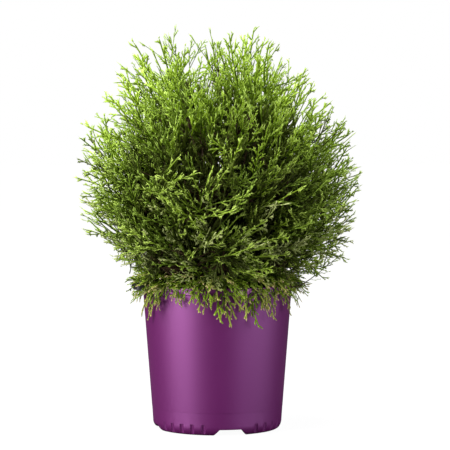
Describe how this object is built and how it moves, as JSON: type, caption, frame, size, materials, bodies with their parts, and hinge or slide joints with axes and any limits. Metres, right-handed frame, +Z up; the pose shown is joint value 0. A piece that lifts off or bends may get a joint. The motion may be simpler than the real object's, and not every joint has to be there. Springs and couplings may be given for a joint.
{
  "type": "potted arborvitae",
  "caption": "Young globe-shaped evergreen with flat sprays of scale leaves, growing in a round plastic nursery pot.",
  "frame": {"origin": "on the ground, on the pot's axis, under the middle of the crown", "axes": "+Z up along the pot's axis; the side the picture shows faces -Y; +X is to the right in it"},
  "size_m": [0.4386, 0.4382, 0.6162],
  "materials": {
    "pot": "satin purple",
    "soil": "loose potting mix",
    "bark": "stringy bark",
    "foliage_low": "scale leaves",
    "foliage_middle": "scale leaves",
    "foliage_high": "scale leaves"
  },
  "bodies": {
    "root": {"bough_belt_1": "bark", "bough_belt_2": "bark", "bough_belt_3": "bark", "bough_belt_4": "bark", "bough_belt_5": "bark", "bough_belt_6": "bark", "bough_shoulder_1": "bark", "bough_shoulder_2": "bark", "bough_shoulder_3": "bark", "bough_shoulder_4": "bark", "bough_skirt_1": "bark", "bough_skirt_2": "bark", "bough_skirt_3": "bark", "bough_skirt_4": "bark", "bough_skirt_5": "bark", "bough_skirt_6": "bark", "bough_skirt_7": "bark", "foliage_belt_1": "foliage_middle", "foliage_belt_2": "foliage_middle", "foliage_belt_3": "foliage_middle", "foliage_belt_4": "foliage_middle", "foliage_belt_5": "foliage_middle", "foliage_belt_6": "foliage_middle", "foliage_crest": "foliage_high", "foliage_shoulder_1": "foliage_high", "foliage_shoulder_2": "foliage_high", "foliage_shoulder_3": "foliage_high", "foliage_shoulder_4": "foliage_high", "foliage_skirt_1": "foliage_low", "foliage_skirt_2": "foliage_low", "foliage_skirt_3": "foliage_low", "foliage_skirt_4": "foliage_low", "foliage_skirt_5": "foliage_low", "foliage_skirt_6": "foliage_low", "foliage_skirt_7": "foliage_low", "pot": "pot", "potting_mix": "soil", "trunk": "bark"}
  },
  "joints": []
}
